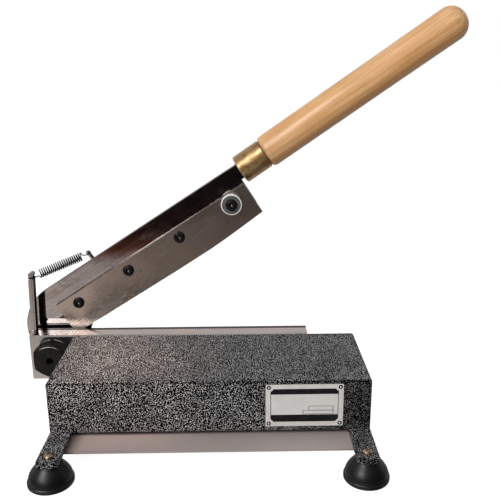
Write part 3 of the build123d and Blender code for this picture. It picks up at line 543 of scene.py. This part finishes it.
def make_spring():
    path = []
    # loop round the post's waist, drawn out to the width of the strip
    wz = A.z
    hx, hy = 1.5 + WIRE + 0.1, 3.65 + WIRE + 0.1
    cx, cy = A.x, A.y
    hook = [
        (cx + hx + 0.9, cy - 0.4, wz - 1.5), (cx + hx + 0.2, cy + 1.6, wz - 0.9), (cx + hx, cy + hy - 1.0, wz - 0.5), (cx + hx - 1.1, cy + hy, wz - 0.4), (cx - hx + 1.1, cy + hy, wz - 0.35),
        (cx - hx, cy + hy - 1.1, wz - 0.3), (cx - hx, cy, wz - 0.2), (cx - hx, cy - hy + 1.1, wz - 0.05), (cx - hx + 1.1, cy - hy, wz + 0.1),
        (cx + hx - 1.1, cy - hy, wz + 0.25), (cx + hx + 0.2, cy - hy + 0.8, wz + 0.35), (cx + hx + 1.2, cy - hy + 2.2, wz + 0.4),
    ]
    hook = [Vector(h) for h in hook]
    start_turn = 0.42
    lead = [A + axis * 5.6 + e3 * 1.4 - e2 * 0.9, coil_point(COIL_A - 0.35, start_turn - 0.11, 3.0)]
    coil = []
    n = int(TURNS * 30)
    for i in range(n + 1):
        f = i / n
        coil.append(coil_point(COIL_A + WIRE + f * (COIL_B - COIL_A - 2 * WIRE), start_turn + f * TURNS))
    end_turn = start_turn + TURNS
    out = [coil_point(COIL_B + 0.25, end_turn + 0.09, 3.2), coil_point(COIL_B + 1.2, end_turn + 0.19, 1.8), A + axis * (COIL_B + 3.0) - e3 * 0.1]
    # loop round the stud, square to it, with the cut end standing off
    up = Vector((-SA, 0, CA))
    along = Vector((CA, 0, SA))
    r = 1.45 + WIRE + 0.06
    loop = []
    for k in range(13):
        a = radians(150 + k * 26)
        lift = -0.25 + 0.055 * k
        loop.append(B + along * (r * cos(a)) + Vector((0, -1, 0)) * (r * sin(a)) * -1 + up * lift)
    a = radians(150 + 12 * 26)
    tail_dir = (along * -sin(a) + Vector((0, -1, 0)) * cos(a) * -1).normalized()
    last = loop[-1]
    tail = [last + tail_dir * 1.1 + up * 0.5, last + tail_dir * 1.9 + along * 0.9 + up * 1.6, last + tail_dir * 2.3 + along * 1.9 + up * 2.7]
    first = smooth_path(hook + lead + [coil[0]], 0.35)
    second = smooth_path([coil[-1]] + out + loop + tail, 0.35)
    path = first[:-1] + coil + second[1:]
    return sweep([p * MM for p in path], WIRE * MM, 12)


spring = new_object("spring_coil", make_spring(), [wire_steel], 50)
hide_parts("spring")
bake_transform(spring)

# ================================================================= nameplate
PLATE_X, PLATE_Z, PLATE_Y = TX + 76.5, 44.6, -48.0
PW, PH = 63.0, 37.5
RX, RZ = PW / 2 - 2.6, PH / 2 - 2.6


def prism(bm, outline, y0, y1, mat, bevel=0.0):
    """A flat piece with outline in (x, z), from y0 (back) to y1 (front), front edge softened."""
    def loop(y, inset):
        out = []
        n = len(outline)
        for i in range(n):
            a, b, c = Vector(outline[i - 1]), Vector(outline[i]), Vector(outline[(i + 1) % n])
            d1, d2 = (b - a).normalized(), (c - b).normalized()
            n1, n2 = Vector((-d1.y, d1.x)), Vector((-d2.y, d2.x))
            k = n1 + n2
            k = k / max(k.length_squared / 2, 0.3)
            q = b + k * inset
            out.append(bm.verts.new(Vector((q.x, y, q.y)) * MM))
        return out
    rings = [loop(y0, 0.0), loop(y1 + bevel, 0.0)]
    if bevel:
        rings.append(loop(y1 + bevel * 0.3, bevel * 0.3))
        rings.append(loop(y1, bevel))
    faces = []
    for a, b in zip(rings, rings[1:]):
        for k in range(len(a)):
            faces.append(bm.faces.new((a[k], a[(k + 1) % len(a)], b[(k + 1) % len(a)], b[k])))
    faces.append(bm.faces.new(rings[0]))
    faces.append(bm.faces.new(list(reversed(rings[-1]))))
    for f in faces:
        f.material_index = mat
    return faces


def rounded(x0, z0, x1, z1, r, n=4):
    pts = []
    for cx, cz, a0 in ((x1 - r, z1 - r, 0), (x0 + r, z1 - r, 90), (x0 + r, z0 + r, 180), (x1 - r, z0 + r, 270)):
        for k in range(n + 1):
            a = radians(a0 + 90 * k / n)
            pts.append((cx + r * cos(a), cz + r * sin(a)))
    return pts


def make_plate():
    bm = bmesh.new()
    # enamelled ground, then the raised bright fields on it
    prism(bm, [(PLATE_X + x, PLATE_Z + z) for x, z in rounded(-PW / 2, -PH / 2, PW / 2, PH / 2, 0.8)], PLATE_Y - 0.02, PLATE_Y - 0.60, 1)
    top = PLATE_Y - 0.80
    ground = PLATE_Y - 0.58
    ix, iz = PW / 2 - 4.0, PH / 2 - 4.0
    notch = 3.9

    def inner_corner(sx, sz):
        # concave arc round the rivet, from the long side to the short side
        pts = []
        zz = RZ - iz
        xx = RX - ix
        # points where the arc meets the inner rectangle
        ax = math.sqrt(max(notch ** 2 - zz ** 2, 0))
        az = math.sqrt(max(notch ** 2 - xx ** 2, 0))
        p0 = (RX - ax, iz)
        p1 = (ix, RZ - az)
        a0 = math.atan2(p0[1] - RZ, p0[0] - RX)
        a1 = math.atan2(p1[1] - RZ, p1[0] - RX)
        if a0 > 0:
            a0 -= 2 * pi
        for k in range(7):
            a = a0 + (a1 - a0) * k / 6
            pts.append((sx * (RX + notch * cos(a)), sz * (RZ + notch * sin(a))))
        return pts

    # border in four strips that share the notched inner outline
    inner = []
    inner += inner_corner(1, 1)                      # top right: from top side to right side
    inner += list(reversed(inner_corner(1, -1)))     # bottom right: from right side to bottom side
    inner += inner_corner(-1, -1)                    # bottom left
    inner += list(reversed(inner_corner(-1, 1)))     # top left
    outer = list(reversed(rounded(-PW / 2 + 0.05, -PH / 2 + 0.05, PW / 2 - 0.05, PH / 2 - 0.05, 0.75)))

    def ring_layer(y):
        vi = [bm.verts.new(Vector((PLATE_X + x, y, PLATE_Z + z)) * MM) for x, z in inner]
        vo = [bm.verts.new(Vector((PLATE_X + x, y, PLATE_Z + z)) * MM) for x, z in outer]
        return vi, vo

    vi0, vo0 = ring_layer(ground)
    vi1, vo1 = ring_layer(top)
    for a, b in ((vi0, vi1), (vo0, vo1)):
        for k in range(len(a)):
            bm.faces.new((a[k], a[(k + 1) % len(a)], b[(k + 1) % len(a)], b[k])).material_index = 0
    for vi, vo in ((vi1, vo1), (vi0, vo0)):
        edges = []
        for lp in (vi, vo):
            for k in range(len(lp)):
                e = bm.edges.get((lp[k], lp[(k + 1) % len(lp)])) or bm.edges.new((lp[k], lp[(k + 1) % len(lp)]))
                edges.append(e)
        made = bmesh.ops.triangle_fill(bm, use_beauty=True, use_dissolve=False, edges=edges)
        for f in made["geom"]:
            if isinstance(f, bmesh.types.BMFace):
                f.material_index = 0
    # middle field, cut by the outlines of two empty boxes
    fx0, fx1 = -ix + 0.5, ix - 0.5
    fz0, fz1 = -iz + 6.4, iz - 4.9
    line = 0.45
    boxes = [(3.8, -4.3, 23.0, -1.1), (-0.9, -7.6, 23.2, -4.85)]
    raised = []
    xs = sorted({fx0, fx1} | {v for b in boxes for v in (b[0] - line, b[0], b[2], b[2] + line)})
    zs = sorted({fz0, fz1} | {v for b in boxes for v in (b[1] - line, b[1], b[3], b[3] + line)})

    def is_line(x, z):
        for x0, z0, x1, z1 in boxes:
            if x0 - line < x < x1 + line and z0 - line < z < z1 + line and not (x0 < x < x1 and z0 < z < z1):
                return True
        return False
    grid = {}

    def vert(x, y, z):
        key = (round(x, 4), round(y, 4), round(z, 4))
        if key not in grid:
            grid[key] = bm.verts.new(Vector((PLATE_X + x, y, PLATE_Z + z)) * MM)
        return grid[key]
    solid = {}
    for i in range(len(xs) - 1):
        for j in range(len(zs) - 1):
            if fz0 <= zs[j] and zs[j + 1] <= fz1:
                solid[i, j] = not is_line((xs[i] + xs[i + 1]) / 2, (zs[j] + zs[j + 1]) / 2)
    for (i, j), up in solid.items():
        if not up:
            continue
        x0, x1, z0, z1 = xs[i], xs[i + 1], zs[j], zs[j + 1]
        bm.faces.new([vert(x0, top, z0), vert(x1, top, z0), vert(x1, top, z1), vert(x0, top, z1)]).material_index = 0
        bm.faces.new([vert(x0, ground, z0), vert(x0, ground, z1), vert(x1, ground, z1), vert(x1, ground, z0)]).material_index = 0
        for (di, dj), (p, q) in (((-1, 0), ((x0, z0), (x0, z1))), ((1, 0), ((x1, z1), (x1, z0))), ((0, -1), ((x1, z0), (x0, z0))), ((0, 1), ((x0, z1), (x1, z1)))):
            if not solid.get((i + di, j + dj), False):
                bm.faces.new([vert(p[0], top, p[1]), vert(q[0], top, q[1]), vert(q[0], ground, q[1]), vert(p[0], ground, p[1])]).material_index = 0
    return bm


plate = new_object("data_plate", make_plate(), [plate_metal, plate_black], 30)
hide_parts("nameplate")
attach(plate, "base")


def lathe(bm, profile, centre, mat, sides=28):
    """Profile is (radius, y) in mm, turned about the Y axis through centre (x, z)."""
    rings = []
    for r, y in profile:
        if r < 1e-6:
            rings.append([bm.verts.new(Vector((centre[0], y, centre[1])) * MM)])
        else:
            rings.append([bm.verts.new(Vector((centre[0] + r * cos(2 * pi * k / sides), y, centre[1] + r * sin(2 * pi * k / sides))) * MM) for k in range(sides)])
    for a, b in zip(rings, rings[1:]):
        for k in range(sides):
            k2 = (k + 1) % sides
            if len(a) == 1 and len(b) == 1:
                continue
            if len(a) == 1:
                f = bm.faces.new((a[0], b[k], b[k2]))
            elif len(b) == 1:
                f = bm.faces.new((a[k], a[k2], b[0]))
            else:
                f = bm.faces.new((a[k], a[k2], b[k2], b[k]))
            f.material_index = mat


def make_rivets():
    bm = bmesh.new()
    for sx in (-1, 1):
        for sz in (-1, 1):
            c = (PLATE_X + sx * RX, PLATE_Z + sz * RZ)
            y = PLATE_Y - 0.8
            ring = [(0.0, y + 3.3), (0.85, y + 3.3), (0.85, y + 0.02), (1.65, y + 0.02), (1.74, y - 0.08), (1.74, y - 0.22), (1.63, y - 0.38), (1.4, y - 0.47), (1.12, y - 0.47), (0.92, y - 0.38), (0.8, y - 0.22), (0.78, y - 0.02), (0.0, y - 0.02)]
            lathe(bm, ring, c, 0)
            # the bright pin is a painted highlight, standing for the glint at the middle of the rivet head
            pin = [(0.0, y - 0.01), (0.70, y - 0.01), (0.70, y - 0.40), (0.62, y - 0.56), (0.42, y - 0.68), (0.2, y - 0.74), (0.0, y - 0.76)]
            lathe(bm, pin, c, 1)
    return bm


rivets = new_object("plate_rivets", make_rivets(), [screw_black, bearing_steel], 40)
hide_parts("nameplate_rivets")
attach(rivets, "base")

# ===================================================================== stage
bm = bmesh.new()
bmesh.ops.create_grid(bm, x_segments=4, y_segments=4, size=6.0)
floor = new_object("floor", bm, [])
fm, g = material("pale_floor")
out = g.put("ShaderNodeOutputMaterial")
d = g.put("ShaderNodeBsdfDiffuse", {"Color": (0.34, 0.34, 0.34)})
e = g.put("ShaderNodeEmission", {"Color": (1.0, 1.0, 1.0), "Strength": 0.94})
a = g.put("ShaderNodeAddShader", {0: d.outputs[0], 1: e.outputs[0]})
fm.node_tree.links.new(a.outputs[0], out.inputs[0])
floor.data.materials.append(fm)
floor.location = (0, 0, -0.0002)
floor.visible_glossy = False
floor.visible_diffuse = False

# soft studio: a room that is dark towards the front above the table's edge,
# pale at the back, with a bright ceiling
world = bpy.data.worlds.new("studio")
bpy.context.scene.world = world
world.use_nodes = True
g = Graph(world.node_tree)
direction = g.put("ShaderNodeTexCoord").outputs["Generated"]
wx, wy, wz = g.parts(direction)
h = g.math("MULTIPLY_ADD", wz, 0.5, 0.5)


def at(z):
    return z * 0.5 + 0.5


front = g.ramp(h, [
    (at(-1.0), (0.30, 0.28, 0.26)), (at(-0.72), (0.42, 0.39, 0.37)), (at(-0.56), (0.84, 0.81, 0.78)), (at(-0.48), (0.84, 0.81, 0.78)), (at(-0.42), (0.62, 0.58, 0.55)), (at(-0.342), (0.50, 0.455, 0.435)),
    (at(-0.305), (0.40, 0.365, 0.35)), (at(-0.286), (0.33, 0.295, 0.285)), (at(-0.278), (0.13, 0.048, 0.030)), (at(-0.266), (0.07, 0.024, 0.016)),
    (at(-0.250), (0.016, 0.010, 0.009)), (at(-0.15), (0.006, 0.006, 0.007)), (at(0.12), (0.012, 0.012, 0.014)), (at(0.34), (0.06, 0.06, 0.062)),
    (at(0.6), (0.20, 0.20, 0.205)), (at(1.0), (0.30, 0.30, 0.31)),
])
back = g.ramp(h, [
    (at(-1.0), (0.42, 0.39, 0.37)), (at(-0.3), (0.40, 0.37, 0.36)), (at(-0.05), (0.42, 0.395, 0.385)), (at(0.05), (0.50, 0.465, 0.45)), (at(0.28), (0.64, 0.59, 0.57)), (at(0.42), (0.66, 0.61, 0.59)),
    (at(0.6), (0.42, 0.40, 0.39)), (at(0.8), (0.30, 0.29, 0.29)), (at(1.0), (0.30, 0.30, 0.31)),
])
dim = g.span(wx, 0.02, 0.26, 1.0, 0.22)
front = g.mix(1.0, front, g.join(dim, dim, dim), "MULTIPLY")
side = g.span(wy, -0.12, 0.25)
room = g.mix(side, front, back)
sees = g.put("ShaderNodeLightPath").outputs["Is Camera Ray"]
shown = g.mix(sees, room, (1.0, 1.0, 1.0))
bg = g.put("ShaderNodeBackground", {"Color": shown, "Strength": 1.0})
wo = g.put("ShaderNodeOutputWorld")
world.node_tree.links.new(bg.outputs[0], wo.inputs[0])


def softbox(name, place, target, size, watts, colour=(1, 1, 1), size_y=None):
    data = bpy.data.lights.new(name, "AREA")
    data.shape = "RECTANGLE"
    data.size, data.size_y = size, size_y or size
    data.energy = watts
    data.color = colour
    obj = bpy.data.objects.new(name, data)
    bpy.context.scene.collection.objects.link(obj)
    obj.location = place
    obj.rotation_mode = "QUATERNION"
    obj.rotation_quaternion = (Vector(target) - Vector(place)).to_track_quat("-Z", "Y")
    obj.visible_camera = False
    return obj


softbox("key", (-0.88, -1.05, 0.98), (0.0, 0.0, 0.12), 0.72, 16.0, (1.0, 0.985, 0.965))
fill = softbox("upper_fill", (-0.30, -0.90, 1.30), (0.08, 0.0, 0.24), 0.95, 9.0, (1.0, 0.99, 0.98), 0.60)
fill.visible_glossy = False
under = softbox("under_fill", (0.45, -1.10, 0.06), (0.10, 0.07, 0.28), 0.60, 2.6, (1.0, 0.90, 0.80), 0.35)
under.visible_glossy = False
softbox("overhead", (0.1, -0.1, 1.7), (0.0, 0.0, 0.1), 1.3, 2.0, (1.0, 1.0, 1.0))
sheen = softbox("foot_sheen", (-0.62, -1.35, 0.42), (-0.02, -0.08, 0.01), 0.14, 0.9, (0.97, 0.98, 1.0), 0.50)
sheen.visible_diffuse = False

# a warm patch on the left of the table top, thrown back by the bright blade
data = bpy.data.lights.new("warm_patch", "SPOT")
data.energy, data.color = 66.0, (1.0, 0.73, 0.63)
data.spot_size, data.spot_blend, data.shadow_soft_size = radians(9.5), 1.0, 0.03
patch = bpy.data.objects.new("warm_patch", data)
bpy.context.scene.collection.objects.link(patch)
patch.location = (-0.24, -0.42, 0.92)
patch.rotation_mode = "QUATERNION"
patch.rotation_quaternion = (Vector((-0.103, -0.008, 0.066)) - patch.location).to_track_quat("-Z", "Y")
patch.visible_camera = False
patch.visible_glossy = False

# ==================================================================== camera
cam_data = bpy.data.cameras.new("camera")
cam = bpy.data.objects.new("camera", cam_data)
bpy.context.scene.collection.objects.link(cam)
pitch, yaw, roll = 0.283444, 0.0147955, -0.00527284
fwd = Vector((sin(yaw) * cos(pitch), cos(yaw) * cos(pitch), -sin(pitch)))
right0 = Vector((cos(yaw), -sin(yaw), 0.0))
up0 = right0.cross(fwd)
right = right0 * cos(roll) + up0 * sin(roll)
up = -right0 * sin(roll) + up0 * cos(roll)
place = Vector((0.0049913, -0.5309015, 0.3161962))
cam.matrix_world = Matrix(((right.x, up.x, -fwd.x, place.x), (right.y, up.y, -fwd.y, place.y), (right.z, up.z, -fwd.z, place.z), (0, 0, 0, 1)))
cam_data.sensor_fit = "HORIZONTAL"
cam_data.sensor_width = 36.0
cam_data.lens = 667.7012 / 500.0 * 36.0
cam_data.clip_start, cam_data.clip_end = 0.02, 50.0
bpy.context.scene.camera = cam

view = bpy.context.scene.view_settings
view.view_transform = "Standard"
view.look = "None"
view.exposure = 0.0
view.gamma = 1.0
